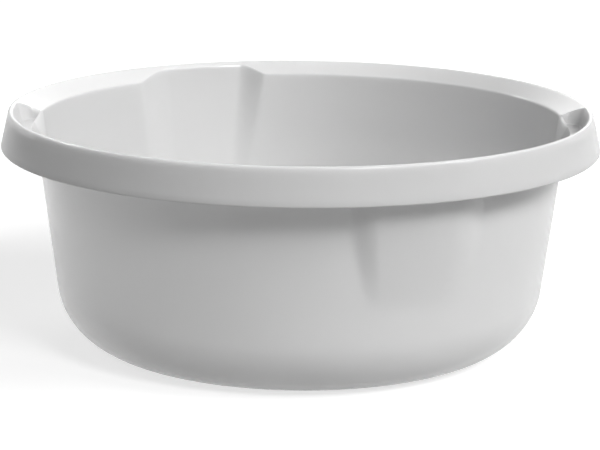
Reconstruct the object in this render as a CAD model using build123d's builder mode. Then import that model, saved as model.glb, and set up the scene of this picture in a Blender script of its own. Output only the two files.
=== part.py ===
from build123d import *
from math import cos, hypot, pi, radians, sin, tan
import os

# A round bowl moulded in one piece: a flat foot, a deep rounded heel, a leaning wall, a flange that
# falls inwards and an apron that hangs from its crest. Two pouring lobes bulge out of the wall,
# opposite each other, and a grip pocket is sunk into the flange at each side.
# Millimetres, +Z up, origin at the centre of the foot's underside. Angles are in degrees, and
# azimuths are measured from +X towards +Y.

# Shell
height = 153.5
wall = 2.0
mouth_radius = 169.1
wall_lean = 7.35
heel_radius = 44.3

# Rim
flange_width = 16.8
crest_round = 1.6
flange_fall = 22.0
apron_drop = 23.2
apron_flare = 12.9
foot_edge_round = 0.8
lip_round = 1.5
inside_corner_round = 1.2

# Foot
foot_ring_width = 12.0
foot_ring_step = 1.2
foot_step_run = 3.0
gate_radius = 2.0
gate_height = 0.5

# Pouring lobes
lobe_azimuth = 90.0
lobe_bottom = 60.0
lobe_lean = 6.9
lobe_inset = 1.0
lobe_top_angles = (10.3, 37.6)
lobe_low_angles = (15.0, 38.3)
lobe_side_angles = (6.4, 11.9)
lobe_side_steps = 6
lobe_face_steps = 4

# Grip pockets
grip_far_angle = 5.2
grip_near_angle = -32.0
grip_depth = 12.2
grip_bead = 4.9
grip_draft = 16.5
grip_corner_round = 7.0
grip_floor_round = 1.0

# One overrun takes every cut past the face that it opens
overrun = 5.0

# Worked out from the sizes above
flange_slope = tan(radians(flange_fall))
apron_slope = tan(radians(apron_flare))
wall_slope = tan(radians(wall_lean))
lobe_slope = tan(radians(wall_lean + lobe_lean)) - wall_slope
crest_radius = mouth_radius + flange_width
crest_height = height - crest_round
apron_foot = height - apron_drop
grip_floor = height - grip_depth
grip_radius = crest_radius - grip_bead
wall_across = wall / cos(radians(wall_lean))
flange_through = wall / cos(radians(flange_fall))
apron_across = wall / cos(radians(apron_flare))


def flange_height(radius, depth=0.0):
    """Height of the flange's top, or of a face that runs a depth below it."""
    top = crest_height + crest_round / cos(radians(flange_fall))
    return top - (crest_radius - radius) * flange_slope - depth


def apron_radius(z, depth=0.0):
    """Radius of the apron's outside, or of a face that runs a depth inside it."""
    outside = crest_radius + crest_round / cos(radians(apron_flare))
    return outside + (crest_height - z) * apron_slope - depth


mouth_height = flange_height(mouth_radius)


def cavity_radius(z):
    """Radius of the wall's inside face."""
    return mouth_radius - (mouth_height - z) * wall_slope


def wall_radius(z):
    """Radius of the wall's outside face."""
    return cavity_radius(z) + wall_across


def rim_corner(depth_down, depth_in):
    """Where a face under the flange meets a face inside the apron."""
    at_crest = apron_radius(0, depth_in)
    run = flange_height(at_crest, depth_down) / (1 + flange_slope * apron_slope)
    return (at_crest - run * apron_slope, run)


def wall_corner(radius_at_foot, depth_down):
    """Where the wall meets a face under the flange."""
    rise = flange_height(radius_at_foot, depth_down) / (1 - flange_slope * wall_slope)
    return (radius_at_foot + rise * wall_slope, rise)


def azimuth_plane(azimuth):
    """The upright plane through the axis, with its x pointing out at an azimuth."""
    turn = radians(azimuth)
    return Plane(origin=(0, 0, 0), x_dir=(cos(turn), sin(turn), 0), z_dir=(sin(turn), -cos(turn), 0))


def round_corners(sketch, corners, radius):
    """Rounds the corners of a sketch that lie at the given points."""
    fillet([sketch.vertices().sort_by_distance(corner)[0] for corner in corners], radius)


# Corners of the outside, from the foot outwards and up over the rim
foot_radius = wall_radius(0) + heel_radius * wall_slope - heel_radius / cos(radians(wall_lean))
ring_inside = foot_radius - foot_ring_width
heel_corner = (wall_radius(0), 0)
under_flange = wall_corner(wall_radius(0), flange_through)
inside_crest = rim_corner(flange_through, apron_across)
apron_inner_foot = (apron_radius(apron_foot, apron_across), apron_foot)
apron_outer_foot = (apron_radius(apron_foot), apron_foot)
crest_corner = rim_corner(0, 0)
flange_centre = (0, flange_height(0))

with BuildPart() as outside:
    with BuildSketch(Plane.XZ) as section:
        with BuildLine():
            Polyline(
                (0, foot_ring_step - gate_height),
                (gate_radius, foot_ring_step - gate_height),
                (gate_radius, foot_ring_step),
                (ring_inside - foot_step_run, foot_ring_step),
                (ring_inside, 0),
                heel_corner,
                under_flange,
                inside_crest,
                apron_inner_foot,
                apron_outer_foot,
                crest_corner,
                flange_centre,
                close=True,
            )
        make_face()
        round_corners(section, [heel_corner], heel_radius)
        round_corners(section, [crest_corner], crest_round)
        round_corners(section, [under_flange, inside_crest], inside_corner_round)
        round_corners(section, [apron_inner_foot, apron_outer_foot], foot_edge_round)
    revolve(axis=Axis.Z)

# What is added under the flange stops halfway through the flange and the apron
with BuildPart() as core:
    with BuildSketch(Plane.XZ):
        with BuildLine():
            Polyline(
                (0, 0),
                (apron_radius(0, apron_across / 2), 0),
                rim_corner(flange_through / 2, apron_across / 2),
                (0, flange_height(0, flange_through / 2)),
                close=True,
            )
        make_face()
    revolve(axis=Axis.Z)

# The bowl's inside, past the mouth
cavity_corner = (cavity_radius(wall), wall)
cavity_top = height + overrun

with BuildPart() as cavity:
    with BuildSketch(Plane.XZ) as section:
        with BuildLine():
            Polyline(
                (0, foot_ring_step + wall),
                (ring_inside - foot_step_run, foot_ring_step + wall),
                (ring_inside, wall),
                cavity_corner,
                (cavity_radius(cavity_top), cavity_top),
                (0, cavity_top),
                close=True,
            )
        make_face()
        round_corners(section, [cavity_corner], heel_radius - wall)
    revolve(axis=Axis.Z)


def lobe_bulge(share):
    """How far across a lobe's side the bulge has risen, from 0 to 1."""
    return (1 - cos(pi * share)) / 2


def lobe_points(z, face_radius, angles, thickness):
    """Points along a lobe's outline at one height, from its steep side to its gentle side."""
    steep, gentle = angles
    steep_side, gentle_side = lobe_side_angles
    inwards = thickness / mouth_radius * 180 / pi / 2
    steep_start = steep + inwards - steep_side / 2
    steep_end = steep_start + steep_side
    gentle_start = gentle - inwards - gentle_side / 2
    stops = []
    for step in range(lobe_side_steps):
        share = step / lobe_side_steps
        stops.append((steep_start + steep_side * share, lobe_bulge(share)))
    for step in range(lobe_face_steps):
        share = step / lobe_face_steps
        stops.append((steep_end + (gentle_start - steep_end) * share, 1))
    for step in range(lobe_side_steps + 1):
        share = step / lobe_side_steps
        stops.append((gentle_start + gentle_side * share, lobe_bulge(1 - share)))
    depth = (z - lobe_bottom) * lobe_slope
    points = []
    for angle, bulge in stops:
        radius = face_radius - lobe_inset + (lobe_inset + depth) * bulge
        turn = radians(lobe_azimuth + angle)
        points.append((radius * cos(turn), radius * sin(turn)))
    return points


def lobe_section(z, face_radius, angles, thickness):
    """One level of a lobe, closed by a chord that lies inside the bowl."""
    points = lobe_points(z, face_radius, angles, thickness)
    with BuildSketch(Plane.XY.offset(z)) as level:
        with BuildLine():
            Spline(points)
            Line(points[-1], points[0])
        make_face()
    return level.sketch


# A lobe starts inside the wall, comes through it at lobe_bottom and grows up to the flange
lobe_low = lobe_bottom - lobe_inset / lobe_slope

with BuildPart() as lobe_outside:
    low_outline = lobe_section(lobe_low, wall_radius(lobe_low), lobe_low_angles, 0)
    top_outline = lobe_section(height, wall_radius(height), lobe_top_angles, 0)
    loft([low_outline, top_outline], ruled=True)
    add(core.part, mode=Mode.INTERSECT)

with BuildPart() as lobe_inside:
    low_outline = lobe_section(lobe_low, cavity_radius(lobe_low), lobe_low_angles, wall)
    top_outline = lobe_section(cavity_top, cavity_radius(cavity_top), lobe_top_angles, wall)
    loft([low_outline, top_outline], ruled=True)

# Grip pockets: the inside is cut, and the outside is the skin that carries it
grip_slope = tan(radians(grip_draft))
grip_skin_angle = wall / grip_radius * 180 / pi
grip_span = grip_far_angle - grip_near_angle


def grip_profile(floor, radius_at_floor, top, start_angle):
    """A pocket's section on the upright plane at its near end. It opens upwards and into the bowl."""
    back = cavity_radius(floor) - overrun
    with BuildSketch(azimuth_plane(start_angle)) as profile:
        with BuildLine():
            Polyline(
                (back, floor),
                (radius_at_floor, floor),
                (radius_at_floor + (top - floor) * grip_slope, top),
                (back, top),
                close=True,
            )
        make_face()
    return profile.sketch


def grip_corners(block):
    """The two upright edges of a pocket that lie furthest out."""
    return block.edges().filter_by(GeomType.LINE).sort_by_distance((0, 0, height))[-2:]


def grip_floor_edges(block):
    """The edges of a pocket's floor, but for the one on the bowl's side."""
    edges = block.faces().sort_by(Axis.Z)[0].edges()
    return edges.sort_by_distance((0, 0, 0))[1:]


with BuildPart() as grip_inside:
    near_profile = grip_profile(grip_floor, grip_radius, cavity_top, grip_near_angle)
    revolve(near_profile, axis=Axis.Z, revolution_arc=grip_span)
    fillet(grip_corners(grip_inside), grip_corner_round)
    fillet(grip_floor_edges(grip_inside), grip_floor_round)

with BuildPart() as grip_outside:
    near_profile = grip_profile(
        grip_floor - wall, grip_radius + wall, height, grip_near_angle - grip_skin_angle
    )
    revolve(near_profile, axis=Axis.Z, revolution_arc=grip_span + 2 * grip_skin_angle)
    fillet(grip_corners(grip_outside), grip_corner_round + wall)
    fillet(grip_floor_edges(grip_outside), grip_floor_round + wall)
    add(core.part, mode=Mode.INTERSECT)


def mouth_edges(block):
    """The edges where the flange's top meets the wall and the lobes inside the bowl."""
    chosen = []
    for edge in block.edges():
        middle = edge.position_at(0.5)
        radius = hypot(middle.X, middle.Y)
        on_flange = abs(middle.Z - flange_height(radius)) < wall / 20
        if on_flange and radius < crest_radius - crest_round and edge.geom_type != GeomType.LINE:
            chosen.append(edge)
    return chosen


with BuildPart() as bowl:
    add(outside.part)
    with PolarLocations(0, 2):
        add(lobe_outside.part)
    add(grip_outside.part)
    add(grip_outside.part.mirror(Plane.YZ))
    add(cavity.part, mode=Mode.SUBTRACT)
    with PolarLocations(0, 2):
        add(lobe_inside.part, mode=Mode.SUBTRACT)
    fillet(mouth_edges(bowl), lip_round)
    add(grip_inside.part, mode=Mode.SUBTRACT)
    add(grip_inside.part.mirror(Plane.YZ), mode=Mode.SUBTRACT)

bowl.part.label = "bowl"
os.makedirs("parts", exist_ok=True)
export_step(bowl.part, "parts/bowl.step")
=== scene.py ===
import math
import bpy
import numpy as np
from mathutils import Euler, Matrix, Vector


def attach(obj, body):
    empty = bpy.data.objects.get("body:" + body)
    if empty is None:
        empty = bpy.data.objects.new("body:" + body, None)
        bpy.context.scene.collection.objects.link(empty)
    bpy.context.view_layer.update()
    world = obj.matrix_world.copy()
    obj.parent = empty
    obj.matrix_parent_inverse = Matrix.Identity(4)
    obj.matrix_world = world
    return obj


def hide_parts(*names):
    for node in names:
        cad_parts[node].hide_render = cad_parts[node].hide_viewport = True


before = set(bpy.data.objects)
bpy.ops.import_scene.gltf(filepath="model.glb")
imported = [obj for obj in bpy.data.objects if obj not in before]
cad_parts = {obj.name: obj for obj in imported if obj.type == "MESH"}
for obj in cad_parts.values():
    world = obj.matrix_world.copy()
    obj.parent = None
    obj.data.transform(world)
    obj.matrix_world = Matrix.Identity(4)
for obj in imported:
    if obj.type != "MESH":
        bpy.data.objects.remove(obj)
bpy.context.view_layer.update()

# metres, and degrees for angles
bowlShape = {
    "wall": 0.002,
    "mouthRadius": 0.1691,
    "wallLean": 7.35,
    "heelRound": 0.0443,
    "crestRadius": 0.1859,
    "crestHeight": 0.1519,
    "crestRound": 0.0016,
    "flangeFall": 22.0,
    "apronFlare": 12.9,
    "apronFoot": 0.1303,
    "footEdgeRound": 0.0009,
    "lipRound": 0.0018,
    "insideCornerRound": 0.0013,
    "ringInside": 0.1012,
    "ringStep": 0.0012,
    "ringStepRun": 0.003,
    "gateRadius": 0.002,
    "gateHeight": 0.0005,
    "gateEdgeReach": 0.00015,
    "ringEdgeReach": 0.0009,       # on the underside
    "ringInsideReach": 0.0012,     # on the floor inside
}
gripShape = {
    "farAngle": 5.2,
    "nearAngle": -32.0,
    "floorHeight": 0.1413,
    "floorRadius": 0.181,
    "draft": 16.5,            # of the pocket's outer wall
    "endDraft": 0.00055,      # how far an end wall leans over its height
    "cornerRound": 0.007,     # in plan
    "topEdgeReach": 0.0005,
    "floorEdgeReach": 0.0013,
    "lipRound": 0.0008,       # between the pocket's floor and the bowl's wall
    "lipFlat": 0.0011,        # how wide the floor's own edge runs beside the lip
    "flangeLipFlat": 0.0016,  # and the flange's, past the pockets
    "wallSpread": 0.0044,     # how far the bowl's wall stands out at the pocket's floor
    "spreadFoot": 0.125,      # the height where it begins to
    "spreadPower": 1.6,       # of the curve that it follows
    "cornerWeb": (-0.0035, 0.009),     # past an end, where the mouth's lip comes down to the floor
    "fadeLength": 0.018,      # past the ends, where the mesh lines run back to even
    "skinTopReach": 0.0008,   # of the skin's edges under the flange
    "skinFloorReach": 0.0028,
    "skinMeets": 0.0006,      # nearer than this to the rim's inner corner, the skin meets the apron
    "skinNudge": 0.0003,
    "skinDrop": 0.0012,
    "skinInset": 0.0022,      # how far inside that corner the skin's lines stay on the flange
}
lobeShape = {
    "bottom": 0.060,
    "lean": 6.9,              # of the face, past the wall's own lean
    "inset": 0.001,
    "crease": 0.0009,
    "steepLow": 15.0,
    "steepTop": 10.3,
    "gentleLow": 38.3,
    "gentleTop": 37.6,
    "steepWidth": 6.4,
    "gentleWidth": 11.9,
    "turn": 90.0,             # the lobes' angles are counted from here
    "outerFade": 0.0012,      # how far inside the crest the swelling ends, under the flange
    "innerFade": 0.0006,      # and on top of it
}
meshSteps = {
    "columnTurn": 2.0,
    "lobeColumnTurn": 0.65,
    "lobeZone": (4.0, 46.0),
    "wallLevels": (0.053, 0.072, 0.125),    # heights where the wall's rows change their spacing
    "lipLevels": (0.1415, 0.1345),          # rows below the mouth's lip
    "sunkLipLevels": (0.139, 0.134),        # and below a pocket's
    "cornerColumns": 8,
    "cornerShift": 0.6,                     # of a step, so that no column lies on the corner's end
    "fadeColumns": (-0.018, -0.015, -0.0125, -0.010, -0.008, -0.0065, -0.0052, 0.008, 0.0095, 0.011),
    "columnGap": 0.00007,
    "columnMargin": 0.001,
    "seamGap": 0.000002,
}


def slopeOf(angle):
    return math.tan(math.radians(angle))


flangeSlope = slopeOf(bowlShape["flangeFall"])
apronSlope = slopeOf(bowlShape["apronFlare"])
wallSlope = slopeOf(bowlShape["wallLean"])
lobeSlope = slopeOf(bowlShape["wallLean"] + lobeShape["lean"]) - wallSlope
wallAcross = bowlShape["wall"] / math.cos(math.radians(bowlShape["wallLean"]))
flangeThrough = bowlShape["wall"] / math.cos(math.radians(bowlShape["flangeFall"]))
apronAcross = bowlShape["wall"] / math.cos(math.radians(bowlShape["apronFlare"]))


def flangeHeight(radius, depth=0.0):
    rise = bowlShape["crestRound"] / math.cos(math.radians(bowlShape["flangeFall"]))
    return bowlShape["crestHeight"] + rise - (bowlShape["crestRadius"] - radius) * flangeSlope - depth


def apronRadius(height, depth=0.0):
    reach = bowlShape["crestRound"] / math.cos(math.radians(bowlShape["apronFlare"]))
    return bowlShape["crestRadius"] + reach + (bowlShape["crestHeight"] - height) * apronSlope - depth


mouthHeight = flangeHeight(bowlShape["mouthRadius"])


def innerRadius(height):
    return bowlShape["mouthRadius"] - (mouthHeight - height) * wallSlope


def outerRadius(height):
    return innerRadius(height) + wallAcross


def spreadRadius(height):
    # the bowl's wall under a pocket, which curves outwards to the pocket's floor
    foot = gripShape["spreadFoot"]
    share = max(height - foot, 0.0) / (gripShape["floorHeight"] - foot)
    return innerRadius(height) + gripShape["wallSpread"] * share ** gripShape["spreadPower"]


def rimCorner(depthDown, depthIn):
    height = flangeHeight(apronRadius(0, depthIn), depthDown) / (1 + flangeSlope * apronSlope)
    return apronRadius(height, depthIn), height


def lineMeetsFlange(radius, height, slope, depth=0.0):
    # where a line that goes out by slope for each unit up meets the flange, or a face below it
    rise = (flangeHeight(radius, depth) - height) / (1 - flangeSlope * slope)
    return radius + rise * slope, height + rise


def roundedCorner(before, corner, after, roundness, reach, steps):
    # points across a corner: an arc, or a plain stretch where the line runs straight on
    arcRoom, reachRoom, straight = 0.8, 0.48, 0.02
    corner = np.array(corner)
    incoming = corner - np.array(before)
    outgoing = np.array(after) - corner
    shorter = min(np.linalg.norm(incoming), np.linalg.norm(outgoing))
    room = (arcRoom if reach is None else reachRoom) * shorter
    incoming = incoming / np.linalg.norm(incoming)
    outgoing = outgoing / np.linalg.norm(outgoing)
    cross = incoming[0] * outgoing[1] - incoming[1] * outgoing[0]
    turn = math.atan2(cross, float(np.dot(incoming, outgoing)))
    if steps == 0:
        return [corner]
    if reach is None:
        reach = roundness * math.tan(abs(turn) / 2)
    reach = min(reach, room)
    if abs(turn) < straight:
        return [corner + incoming * reach * (2 * step / steps - 1) for step in range(steps + 1)]
    arcRadius = reach / math.tan(abs(turn) / 2)
    side = math.copysign(1.0, turn)
    centre = corner - incoming * reach + side * arcRadius * np.array((-incoming[1], incoming[0]))
    points = []
    for step in range(steps + 1):
        angle = turn * step / steps
        spoke = -side * arcRadius * np.array((-incoming[1], incoming[0]))
        points.append(centre + np.array((
            spoke[0] * math.cos(angle) - spoke[1] * math.sin(angle),
            spoke[0] * math.sin(angle) + spoke[1] * math.cos(angle))))
    return points


def traceLine(corners):
    # each corner: (across, up), roundness, reach, steps across it, stretches before it
    points = [np.array(corners[0][0])]
    for index in range(1, len(corners)):
        place, roundness, reach, steps, lead = corners[index]
        if index == len(corners) - 1:
            bend = [np.array(place)]
        else:
            before, after = corners[index - 1][0], corners[index + 1][0]
            bend = roundedCorner(before, place, after, roundness, reach, steps)
        start = points[-1]
        for step in range(1, lead):
            points.append(start + (bend[0] - start) * step / lead)
        points.extend(bend)
    return np.array(points)


def rowTags(corners, tags):
    found = [tags[0]]
    for index in range(1, len(corners)):
        steps, lead = corners[index][3], corners[index][4]
        count = max(lead - 1, 0) + (1 if index == len(corners) - 1 else steps + 1)
        found.extend([tags[index]] * count)
    return found


def bowlSection(pulledIn, pulledUnder, sunk):
    # the whole section from the foot's centre outwards, over the rim and back to the floor's centre.
    # pulledIn and pulledUnder bring a pocket's outer wall inwards, at its corners
    gateTop = bowlShape["ringStep"] - bowlShape["gateHeight"]
    gate = bowlShape["gateRadius"]
    ring = bowlShape["ringInside"]
    ringStart = ring - bowlShape["ringStepRun"]
    wall = bowlShape["wall"]
    outerTop = lineMeetsFlange(outerRadius(0), 0, wallSlope, flangeThrough)
    crestInside = rimCorner(flangeThrough, apronAcross)
    draftSlope = slopeOf(gripShape["draft"])
    floor = gripShape["floorHeight"]
    pocketFoot = (gripShape["floorRadius"] - pulledIn, floor)
    pocketTop = lineMeetsFlange(pocketFoot[0], floor, draftSlope)
    skinFoot = (gripShape["floorRadius"] + wall - pulledUnder, floor - wall)
    skinTop = lineMeetsFlange(skinFoot[0], skinFoot[1], draftSlope, flangeThrough)
    crestTurn = crestInside
    meets, nudge, drop = gripShape["skinMeets"], gripShape["skinNudge"], gripShape["skinDrop"]
    if skinTop[0] > crestInside[0] - meets:
        # the pocket's skin runs into the apron
        rise = (apronRadius(skinFoot[1], apronAcross) - skinFoot[0]) / (draftSlope + apronSlope)
        skinTop = (skinFoot[0] + rise * draftSlope, skinFoot[1] + rise)
        if skinTop[1] > crestInside[1] - meets:
            skinTop = (crestInside[0] - nudge, crestInside[1] - nudge * flangeSlope)
        else:
            crestTurn = (apronRadius(skinTop[1] - drop, apronAcross), skinTop[1] - drop)
    if sunk:
        underTop = (spreadRadius(skinFoot[1]) + wallAcross, skinFoot[1])
        skin = (skinFoot, skinTop, crestTurn)
        pocket = (pocketTop, pocketFoot)
        lip = (spreadRadius(floor), floor)
        floorEdge = (lip[0] + gripShape["lipFlat"], floor)
        lipRound = gripShape["lipRound"]
        below = [(spreadRadius(height), height) for height in meshSteps["sunkLipLevels"]]
    else:
        underTop = outerTop
        underCrest = min(skinTop[0], crestInside[0] - gripShape["skinInset"])
        skin = (
            (skinFoot[0], flangeHeight(skinFoot[0], flangeThrough)),
            (underCrest, flangeHeight(underCrest, flangeThrough)),
            crestInside,
        )
        pocket = (pocketTop, (pocketFoot[0], flangeHeight(pocketFoot[0])))
        lip = (bowlShape["mouthRadius"], mouthHeight)
        edgeRadius = lip[0] + gripShape["flangeLipFlat"]
        floorEdge = (edgeRadius, flangeHeight(edgeRadius))
        lipRound = bowlShape["lipRound"]
        below = [(innerRadius(height), height) for height in meshSteps["lipLevels"]]
    inside = bowlShape["insideCornerRound"]
    edge = bowlShape["footEdgeRound"]
    apronFoot = bowlShape["apronFoot"]
    heel = bowlShape["heelRound"]
    step = bowlShape["ringStep"]
    gateReach, ringReach = bowlShape["gateEdgeReach"], bowlShape["ringEdgeReach"]
    insideReach = bowlShape["ringInsideReach"]
    low, middle, high = meshSteps["wallLevels"]
    return [
        ((0, gateTop), None, None, 0, 0),
        ((gate - 0.0002, gateTop), None, gateReach, 2, 1),
        ((gate, step), None, gateReach, 2, 1),
        ((ringStart, step), None, ringReach, 3, 4),
        ((ring, 0), None, ringReach, 3, 1),
        ((outerRadius(0), 0), heel, None, 22, 2),
        ((outerRadius(low), low), None, None, 0, 3),
        ((outerRadius(middle), middle), None, None, 0, 10),
        ((outerRadius(high), high), None, None, 0, 11),
        (underTop, inside, None, 4, 4),
        (skin[0], None, gripShape["skinFloorReach"], 5, 4),
        (skin[1], None, gripShape["skinTopReach"], 3, 3),
        (skin[2], inside, None, 3, 2),
        ((apronRadius(apronFoot, apronAcross), apronFoot), edge, None, 3, 4),
        ((apronRadius(apronFoot), apronFoot), edge, None, 3, 1),
        (rimCorner(0, 0), bowlShape["crestRound"], None, 8, 6),
        (pocket[0], None, gripShape["topEdgeReach"], 4, 2),
        (pocket[1], None, gripShape["floorEdgeReach"], 5, 4),
        (floorEdge, None, gripShape["skinNudge"], 2, 6),
        (lip, lipRound, None, 7, 1),
        (below[0], None, None, 0, 2),
        (below[1], None, None, 0, 3),
        ((innerRadius(high), high), None, None, 0, 4),
        ((innerRadius(middle), middle), None, None, 0, 11),
        ((innerRadius(low), low), None, None, 0, 10),
        ((innerRadius(wall), wall), heel - wall, None, 22, 3),
        ((ring, wall), None, insideReach, 2, 2),
        ((ringStart, wall + step), None, insideReach, 2, 1),
        ((0, wall + step), None, None, 0, 4),
    ]


# which sinking a row follows at the grips: none, its skin's (under), the pocket's own, its floor's
# edge or the lip's
sectionTags = ["none"] * 9 + ["under"] * 4 + ["none"] * 3 + ["pocket"] * 2
sectionTags += ["floor"] + ["lip"] * 4 + ["none"] * 6


def sinkingCurve(offset, topReach, floorReach):
    # how far across an end wall (0 on the flange, 1 on the floor) against the distance past the end
    depth, run = 0.010, 0.004
    lean = gripShape["endDraft"]
    points = traceLine([
        ((offset - run, 0), None, None, 0, 0),
        ((offset - lean, 0), None, topReach, 4, 1),
        ((offset, -depth), None, floorReach, 5, 2),
        ((offset + run, -depth), None, None, 0, 1),
    ])
    return points[:, 0], -points[:, 1] / depth


def cornerPull(distance, roundness):
    # how far in the pocket's outer wall stands, this far past the pocket's end
    if distance >= roundness:
        return 0.0
    if distance >= 0:
        return roundness - math.sqrt(roundness ** 2 - (roundness - distance) ** 2)
    share = min(-distance / gripShape["fadeLength"], 1.0)
    return roundness * (1 - share * share * (3 - 2 * share))


def webShare(past):
    # how far the lip has come down from the mouth to the pocket's floor
    start, end = gripShape["cornerWeb"]
    share = min(max((past - start) / (end - start), 0.0), 1.0)
    return share * share * (3 - 2 * share)


topCurve = sinkingCurve(0.0, gripShape["topEdgeReach"], gripShape["floorEdgeReach"])
underCurve = sinkingCurve(-bowlShape["wall"], gripShape["skinTopReach"], gripShape["skinFloorReach"])
# the radius where distances past an end are true
endRadius = gripShape["floorRadius"] - gripShape["cornerRound"]
skinCorner = gripShape["cornerRound"] + bowlShape["wall"]


def pastEnd(azimuth):
    # distance past the nearest end of a pocket, positive inside it
    best = -9.0
    for mirrored in (False, True):
        turned = 180.0 - azimuth if mirrored else azimuth
        while turned > 180.0:
            turned -= 360.0
        while turned < -180.0:
            turned += 360.0
        toFar = math.radians(gripShape["farAngle"] - turned) * endRadius
        toNear = math.radians(turned - gripShape["nearAngle"]) * endRadius
        best = max(best, toFar if toFar < toNear else toNear)
    return best


def columnAzimuths():
    # even columns, closer ones over the lobes, and the ones that draw the pockets' ends
    azimuths = []
    angle = -90.0
    while angle < 270.0:
        azimuths.append(angle)
        fromLobe = (angle - lobeShape["turn"]) % 180.0
        low, high = meshSteps["lobeZone"]
        angle += meshSteps["lobeColumnTurn"] if low <= fromLobe < high else meshSteps["columnTurn"]
    marks = list(topCurve[0]) + list(underCurve[0])
    count = meshSteps["cornerColumns"]
    for step in range(count):
        swing = 1 - math.cos(math.radians(90 * (step + meshSteps["cornerShift"]) / count))
        marks.append(gripShape["cornerRound"] * swing)
        marks.append(skinCorner * swing - bowlShape["wall"])
    marks.extend(meshSteps["fadeColumns"])
    marks.sort()
    kept = [marks[0]]
    for mark in marks[1:]:
        if mark - kept[-1] > meshSteps["columnGap"]:
            kept.append(mark)
    ends = []
    for end, way in ((gripShape["farAngle"], -1), (gripShape["nearAngle"], 1)):
        for mark in kept:
            turned = end + way * math.degrees(mark / endRadius)
            ends.append(turned)
            ends.append(180.0 - turned)
    low, high = kept[0] - meshSteps["columnMargin"], kept[-1] + meshSteps["columnMargin"]
    azimuths = [angle for angle in azimuths if not low < pastEnd(angle) < high]
    ends = [angle if angle > -90 else angle + 360 for angle in ends]
    return sorted(set(azimuths + ends)) + [270.0]


def lobeRow(radius, height, crestCorner, topCorner):
    # how much of a lobe's bulge a row takes, and of its lift, and the height that its depth is taken at
    growth = lobeSlope + wallSlope
    lift = flangeSlope / (1 - growth * flangeSlope)
    top = min(height, topCorner[1])
    rise = min(max((top - lobeShape["bottom"]) / (topCorner[1] - lobeShape["bottom"]), 0.0), 1.0)
    over = min(max((crestCorner - radius) / (crestCorner - topCorner[0]), 0.0), 1.0)
    hold = (1 + lift * growth * rise) * over
    return hold, lift * rise * over, top


# what each row of the pattern carries for the wrap
rowNames = ("lobeHold", "lobeLift", "lobeLevel", "lobeSide")


def flatPattern():
    # the bowl unrolled: azimuth along X, radius along Y, height along Z
    plain = bowlSection(0.0, 0.0, False)
    tags = np.array(rowTags(plain, sectionTags))
    evenRows = traceLine(plain)
    deepRows = traceLine(bowlSection(0.0, 0.0, True))
    azimuths = columnAzimuths()
    rowCount = len(evenRows)
    crestRow = int(np.argmax(evenRows[:, 1]))
    outerTop = lineMeetsFlange(outerRadius(0), 0, wallSlope, flangeThrough)
    crestInside = rimCorner(flangeThrough, apronAcross)
    holds, lifts, levels, sides = [], [], [], []
    apronRows = range(int(np.argmax(evenRows[:, 0])), crestRow + 1)
    for row, (radius, height) in enumerate(evenRows):
        outside = row < crestRow
        if outside:
            found = lobeRow(radius, height, crestInside[0] - lobeShape["outerFade"], outerTop)
        else:
            found = lobeRow(radius, height, bowlShape["crestRadius"] - lobeShape["innerFade"],
                            (bowlShape["mouthRadius"], mouthHeight))
        if row in apronRows:
            found = (0.0, 0.0, height)
        holds.append(found[0])
        lifts.append(found[1])
        levels.append(found[2])
        sides.append(0.0 if outside else bowlShape["wall"] / bowlShape["mouthRadius"] / 2)
    pattern = np.zeros((len(azimuths), rowCount, 3))
    for column, azimuth in enumerate(azimuths):
        past = pastEnd(azimuth)
        sinkTop = float(np.interp(past, *topCurve))
        sinkUnder = float(np.interp(past, *underCurve))
        pullTop = cornerPull(past, gripShape["cornerRound"])
        pullUnder = cornerPull(past + bowlShape["wall"], skinCorner)
        if past < -gripShape["fadeLength"]:
            rows = evenRows
        else:
            even = traceLine(bowlSection(pullTop, pullUnder, False))
            deep = traceLine(bowlSection(pullTop, pullUnder, True))
            web = webShare(past)
            sunk = {"under": sinkUnder, "pocket": sinkTop, "floor": sinkTop, "lip": web, "none": 0.0}
            # the floor's edge moves across only as far as the lip has come down
            drawn = dict(sunk, floor=sinkTop * web)
            sink = np.array([(drawn[tag], sunk[tag]) for tag in tags])
            rows = even * (1 - sink) + deep * sink
        pattern[column, :, 0] = math.radians(azimuth)
        pattern[column, :, 1:] = rows
    corners = np.arange(pattern.shape[0] * rowCount).reshape(pattern.shape[0], rowCount)
    quads = np.stack((corners[:-1, :-1], corners[1:, :-1], corners[1:, 1:], corners[:-1, 1:]), axis=-1)
    mesh = bpy.data.meshes.new("bowlPattern")
    mesh.from_pydata(pattern.reshape(-1, 3).tolist(), [], quads.reshape(-1, 4).tolist())
    for name, values in zip(rowNames, (holds, lifts, levels, sides)):
        attribute = mesh.attributes.new(name, "FLOAT", "POINT")
        attribute.data.foreach_set("value", np.tile(np.array(values, dtype=np.float32), len(azimuths)))
    print("pattern", len(azimuths), "columns", rowCount, "rows")
    return mesh


def mathNode(tree, operation, *values):
    node = tree.nodes.new("ShaderNodeMath")
    node.operation = operation
    for socket, value in zip(node.inputs, values):
        if isinstance(value, (int, float)):
            socket.default_value = value
        else:
            tree.links.new(value, socket)
    return node.outputs[0]


def rangeNode(tree, value, low, high, toLow, toHigh, smooth):
    node = tree.nodes.new("ShaderNodeMapRange")
    node.interpolation_type = "SMOOTHSTEP" if smooth else "LINEAR"
    for socket, given in zip(node.inputs[:5], (value, low, high, toLow, toHigh)):
        if isinstance(given, (int, float)):
            socket.default_value = given
        else:
            tree.links.new(given, socket)
    return node.outputs[0]


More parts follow.
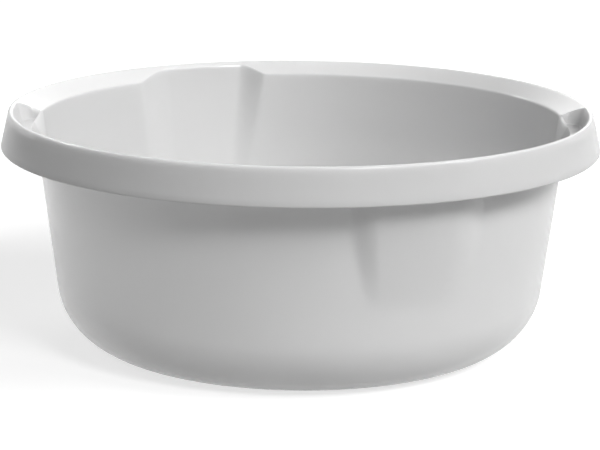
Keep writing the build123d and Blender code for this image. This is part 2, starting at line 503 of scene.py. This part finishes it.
def wrapTree():
    # wraps the flat pattern round the axis and swells the wall out into the two lobes
    tree = bpy.data.node_groups.new("bowlWrap", "GeometryNodeTree")
    sockets = tree.interface
    sockets.new_socket("Pattern", in_out="INPUT", socket_type="NodeSocketGeometry")
    for name in ("Lobe Bottom", "Lobe Slope", "Lobe Top", "Lobe Inset", "Crease", "Lobe Turn",
                 "Steep Low", "Steep Top", "Gentle Low", "Gentle Top", "Steep Width", "Gentle Width"):
        sockets.new_socket(name, in_out="INPUT", socket_type="NodeSocketFloat")
    sockets.new_socket("Plastic", in_out="INPUT", socket_type="NodeSocketMaterial")
    sockets.new_socket("Bowl", in_out="OUTPUT", socket_type="NodeSocketGeometry")
    given = tree.nodes.new("NodeGroupInput").outputs
    place = tree.nodes.new("ShaderNodeSeparateXYZ")
    tree.links.new(tree.nodes.new("GeometryNodeInputPosition").outputs[0], place.inputs[0])
    azimuth, radius, height = place.outputs
    rowValues = {}
    for name in rowNames:
        node = tree.nodes.new("GeometryNodeInputNamedAttribute")
        node.data_type = "FLOAT"
        node.inputs["Name"].default_value = name
        rowValues[name] = node.outputs["Attribute"]
    level = rowValues["lobeLevel"]
    # the azimuth from the lobes' own zero; a half turn brings one lobe onto the other
    fromTurn = mathNode(tree, "SUBTRACT", azimuth, given["Lobe Turn"])
    around = mathNode(tree, "FLOORED_MODULO", fromTurn, math.pi)
    sides = []
    for low, top, width, inward in (("Steep Low", "Steep Top", "Steep Width", 1.0),
                                    ("Gentle Low", "Gentle Top", "Gentle Width", -1.0)):
        middle = rangeNode(tree, level, given["Lobe Bottom"], given["Lobe Top"],
                           given[low], given[top], False)
        middle = mathNode(tree, "MULTIPLY_ADD", rowValues["lobeSide"], inward, middle)
        half = mathNode(tree, "MULTIPLY", given[width], 0.5)
        start = mathNode(tree, "SUBTRACT", middle, half)
        end = mathNode(tree, "ADD", middle, half)
        rising = (0.0, 1.0) if inward > 0 else (1.0, 0.0)
        sides.append(rangeNode(tree, around, start, end, rising[0], rising[1], True))
    swell = mathNode(tree, "MULTIPLY", sides[0], sides[1])
    aboveBottom = mathNode(tree, "SUBTRACT", level, given["Lobe Bottom"])
    depth = mathNode(tree, "MULTIPLY_ADD", aboveBottom, given["Lobe Slope"], given["Lobe Inset"])
    bulge = mathNode(tree, "MULTIPLY", depth, swell)
    bulge = mathNode(tree, "SUBTRACT", bulge, given["Lobe Inset"])
    bulge = mathNode(tree, "SMOOTH_MAX", bulge, 0.0, given["Crease"])
    held = mathNode(tree, "GREATER_THAN", rowValues["lobeHold"], 0.0)
    bulge = mathNode(tree, "MULTIPLY", bulge, held)
    radius = mathNode(tree, "MULTIPLY_ADD", bulge, rowValues["lobeHold"], radius)
    height = mathNode(tree, "MULTIPLY_ADD", bulge, rowValues["lobeLift"], height)
    wrapped = tree.nodes.new("ShaderNodeCombineXYZ")
    for operation, socket in zip(("COSINE", "SINE"), wrapped.inputs):
        share = mathNode(tree, operation, azimuth)
        tree.links.new(mathNode(tree, "MULTIPLY", radius, share), socket)
    tree.links.new(height, wrapped.inputs[2])
    current = given["Pattern"]
    for kind in ("GeometryNodeSetPosition", "GeometryNodeMergeByDistance", "GeometryNodeSetShadeSmooth",
                 "GeometryNodeRealizeInstances", "GeometryNodeSetMaterial"):
        node = tree.nodes.new(kind)
        tree.links.new(current, node.inputs["Geometry"])
        current = node.outputs[0]
        if kind == "GeometryNodeSetPosition":
            tree.links.new(wrapped.outputs[0], node.inputs["Position"])
        if kind == "GeometryNodeMergeByDistance":
            node.inputs["Distance"].default_value = meshSteps["seamGap"]
        if kind == "GeometryNodeSetMaterial":
            tree.links.new(given["Plastic"], node.inputs["Material"])
    tree.links.new(current, tree.nodes.new("NodeGroupOutput").inputs[0])
    return tree


def makeBowl(plastic):
    pattern = bpy.data.objects.new("bowlPattern", flatPattern())
    bpy.context.collection.objects.link(pattern)
    tree = wrapTree()
    modifier = pattern.modifiers.new("wrap", "NODES")
    modifier.node_group = tree
    values = {
        "Lobe Bottom": lobeShape["bottom"],
        "Lobe Slope": lobeSlope,
        "Lobe Top": mouthHeight,
        "Lobe Inset": lobeShape["inset"],
        "Crease": lobeShape["crease"],
        "Lobe Turn": math.radians(lobeShape["turn"]),
        "Steep Low": math.radians(lobeShape["steepLow"]),
        "Steep Top": math.radians(lobeShape["steepTop"]),
        "Gentle Low": math.radians(lobeShape["gentleLow"]),
        "Gentle Top": math.radians(lobeShape["gentleTop"]),
        "Steep Width": math.radians(lobeShape["steepWidth"]),
        "Gentle Width": math.radians(lobeShape["gentleWidth"]),
        "Plastic": plastic,
    }
    for item in tree.interface.items_tree:
        if item.name in values:
            modifier[item.identifier] = values[item.name]
    evaluated = pattern.evaluated_get(bpy.context.evaluated_depsgraph_get())
    mesh = bpy.data.meshes.new_from_object(evaluated)
    for name in rowNames:
        if name in mesh.attributes:
            mesh.attributes.remove(mesh.attributes[name])
    bpy.data.objects.remove(pattern)
    mesh.name = "bowlShell"
    bowl = bpy.data.objects.new("bowlShell", mesh)
    bpy.context.collection.objects.link(bowl)
    print("bowl", len(mesh.vertices), "vertices", len(mesh.polygons), "faces")
    return bowl


def mouldedSkin():
    # slow patches and the fine grain of a moulded surface, both from 0 to 1
    group = bpy.data.node_groups.new("mouldedSkin", "ShaderNodeTree")
    for name in ("Patch Scale", "Grain Scale"):
        group.interface.new_socket(name, in_out="INPUT", socket_type="NodeSocketFloat")
    for name in ("Patches", "Grain"):
        group.interface.new_socket(name, in_out="OUTPUT", socket_type="NodeSocketFloat")
    given = group.nodes.new("NodeGroupInput").outputs
    made = group.nodes.new("NodeGroupOutput").inputs
    place = group.nodes.new("ShaderNodeTexCoord").outputs["Object"]
    for scale, result, detail in (("Patch Scale", "Patches", 3.0), ("Grain Scale", "Grain", 2.0)):
        noise = group.nodes.new("ShaderNodeTexNoise")
        noise.inputs["Detail"].default_value = detail
        group.links.new(place, noise.inputs["Vector"])
        group.links.new(given[scale], noise.inputs["Scale"])
        group.links.new(noise.outputs["Fac"], made[result])
    return group


skinGroup = mouldedSkin()
plasticLook = {
    "colour": (0.82, 0.82, 0.82, 1.0),
    "patchColour": (0.818, 0.818, 0.819, 1.0),
    "roughness": (0.17, 0.31),      # of the glossiest and the dullest places
    "patchScale": 16.0,
    "grainScale": 330.0,
    "grainDepth": 0.000001,         # metres
    "glow": 0.8,                    # how much of the light enters the wall
    "glowReach": 0.016,             # how far it travels there, in metres
}


def plasticMaterial():
    material = bpy.data.materials.new("bowlPlastic")
    material.use_nodes = True
    tree = material.node_tree
    shader = tree.nodes["Principled BSDF"]
    skin = tree.nodes.new("ShaderNodeGroup")
    skin.node_tree = skinGroup
    skin.inputs["Patch Scale"].default_value = plasticLook["patchScale"]
    skin.inputs["Grain Scale"].default_value = plasticLook["grainScale"]
    tint = tree.nodes.new("ShaderNodeMix")
    tint.data_type = "RGBA"
    tree.links.new(skin.outputs["Patches"], tint.inputs[0])
    # the mix node's colour sockets
    firstColour, secondColour, mixedColour = tint.inputs[6], tint.inputs[7], tint.outputs[2]
    firstColour.default_value = plasticLook["colour"]
    secondColour.default_value = plasticLook["patchColour"]
    tree.links.new(mixedColour, shader.inputs["Base Color"])
    low, high = plasticLook["roughness"]
    tree.links.new(rangeNode(tree, skin.outputs["Patches"], 0.0, 1.0, low, high, False),
                   shader.inputs["Roughness"])
    bump = tree.nodes.new("ShaderNodeBump")
    bump.inputs["Distance"].default_value = plasticLook["grainDepth"]
    tree.links.new(skin.outputs["Grain"], bump.inputs["Height"])
    tree.links.new(bump.outputs["Normal"], shader.inputs["Normal"])
    shader.inputs["Subsurface Weight"].default_value = plasticLook["glow"]
    shader.inputs["Subsurface Radius"].default_value = (1.0, 1.0, 1.0)
    shader.inputs["Subsurface Scale"].default_value = plasticLook["glowReach"]
    return material


bowlPlastic = plasticMaterial()
bowlShell = makeBowl(bowlPlastic)
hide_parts("bowl")
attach(bowlShell, "root")

# camera: where the photograph was taken from
cameraView = {
    "place": (0.0001, -1.5693, 0.4422),
    "pitch": 13.137,
    "roll": 0.542,
    "lens": 148.51,
    "sensor": 36.0,
}
cameraData = bpy.data.cameras.new("camera")
cameraData.lens = cameraView["lens"]
cameraData.sensor_width = cameraView["sensor"]
camera = bpy.data.objects.new("camera", cameraData)
pitched = Euler((math.radians(90 - cameraView["pitch"]), 0, 0)).to_matrix()
rolled = pitched @ Matrix.Rotation(math.radians(cameraView["roll"]), 3, "Z")
camera.matrix_world = Matrix.Translation(Vector(cameraView["place"])) @ rolled.to_4x4()
bpy.context.collection.objects.link(camera)
bpy.context.scene.camera = camera

# floor: dull and fairly dark to the bowl, white to the camera
floorLook = {
    "reach": 6.0,
    "colour": 0.25,
    "seenColour": 0.45,       # what the camera sees of it, under the white that is added
    "addedWhite": 0.72,
    "roughness": (0.8, 0.9),
    "patchScale": 2.0,
    "grainScale": 500.0,
}
floorReach = floorLook["reach"]
floorMesh = bpy.data.meshes.new("floor")
floorCorners = [(-floorReach, -floorReach, 0), (floorReach, -floorReach, 0),
                (floorReach, floorReach, 0), (-floorReach, floorReach, 0)]
floorMesh.from_pydata(floorCorners, [], [(0, 1, 2, 3)])
floor = bpy.data.objects.new("floor", floorMesh)
bpy.context.collection.objects.link(floor)


def seenRays(tree):
    # 1 for what the camera sees, straight or in a gloss, and 0 for light that falls on the bowl
    light = tree.nodes.new("ShaderNodeLightPath").outputs
    seen = mathNode(tree, "MAXIMUM", light["Is Camera Ray"], light["Is Glossy Ray"])
    return mathNode(tree, "MAXIMUM", seen, light["Is Transmission Ray"])


def floorMaterial():
    material = bpy.data.materials.new("floorPaint")
    material.use_nodes = True
    tree = material.node_tree
    shader = tree.nodes["Principled BSDF"]
    skin = tree.nodes.new("ShaderNodeGroup")
    skin.node_tree = skinGroup
    skin.inputs["Patch Scale"].default_value = floorLook["patchScale"]
    skin.inputs["Grain Scale"].default_value = floorLook["grainScale"]
    seen = seenRays(tree)
    grey = rangeNode(tree, seen, 0.0, 1.0, floorLook["colour"], floorLook["seenColour"], False)
    tree.links.new(grey, shader.inputs["Base Color"])
    low, high = floorLook["roughness"]
    tree.links.new(rangeNode(tree, skin.outputs["Patches"], 0.0, 1.0, low, high, False),
                   shader.inputs["Roughness"])
    shader.inputs["Specular IOR Level"].default_value = 0.0
    shader.inputs["Emission Color"].default_value = (1.0, 1.0, 1.0, 1.0)
    added = mathNode(tree, "MULTIPLY", seen, floorLook["addedWhite"])
    tree.links.new(added, shader.inputs["Emission Strength"])
    return material


floorMesh.materials.append(floorMaterial())

# distant soft lamps: where the light comes from and how wide it is, in degrees, and its strength.
# Those without diffuse light show only in gloss, as bright surroundings would
lamps = {
    "key": {"azimuth": 300, "elevation": 36, "width": 16, "strength": 1.64, "diffuse": True},
    "keyRight": {"azimuth": 330, "elevation": 36, "width": 16, "strength": 0.82, "diffuse": True},
    "side": {"azimuth": 345, "elevation": 36, "width": 16, "strength": 0.66, "diffuse": True},
    "sideLow": {"azimuth": 345, "elevation": 24, "width": 16, "strength": 0.30, "diffuse": True},
    "fill": {"azimuth": 222, "elevation": 45, "width": 30, "strength": 0.34, "diffuse": True},
    "back": {"azimuth": 78, "elevation": 48, "width": 30, "strength": 0.46, "diffuse": True},
    "rim": {"azimuth": 120, "elevation": 36, "width": 8, "strength": 0.48, "diffuse": False},
    "backLow": {"azimuth": 86, "elevation": 20, "width": 30, "strength": 0.30, "diffuse": False},
}
for name, lamp in lamps.items():
    data = bpy.data.lights.new(name, "SUN")
    data.angle = math.radians(lamp["width"])
    data.energy = lamp["strength"]
    lampObject = bpy.data.objects.new(name, data)
    lampObject.visible_diffuse = lamp["diffuse"]
    across, up = math.radians(lamp["azimuth"]), math.radians(lamp["elevation"])
    towards = Vector((math.cos(across) * math.cos(up), math.sin(across) * math.cos(up), math.sin(up)))
    lampObject.rotation_euler = towards.to_track_quat("Z", "Y").to_euler()
    bpy.context.collection.objects.link(lampObject)

# world: plain white where it is seen, straight or in a gloss. The lamps alone light the bowl
world = bpy.data.worlds.new("studio")
world.use_nodes = True
worldTree = world.node_tree
background = worldTree.nodes["Background"]
background.inputs["Color"].default_value = (1.0, 1.0, 1.0, 1.0)
worldTree.links.new(seenRays(worldTree), background.inputs["Strength"])
bpy.context.scene.world = world
bpy.context.scene.view_settings.view_transform = "Standard"
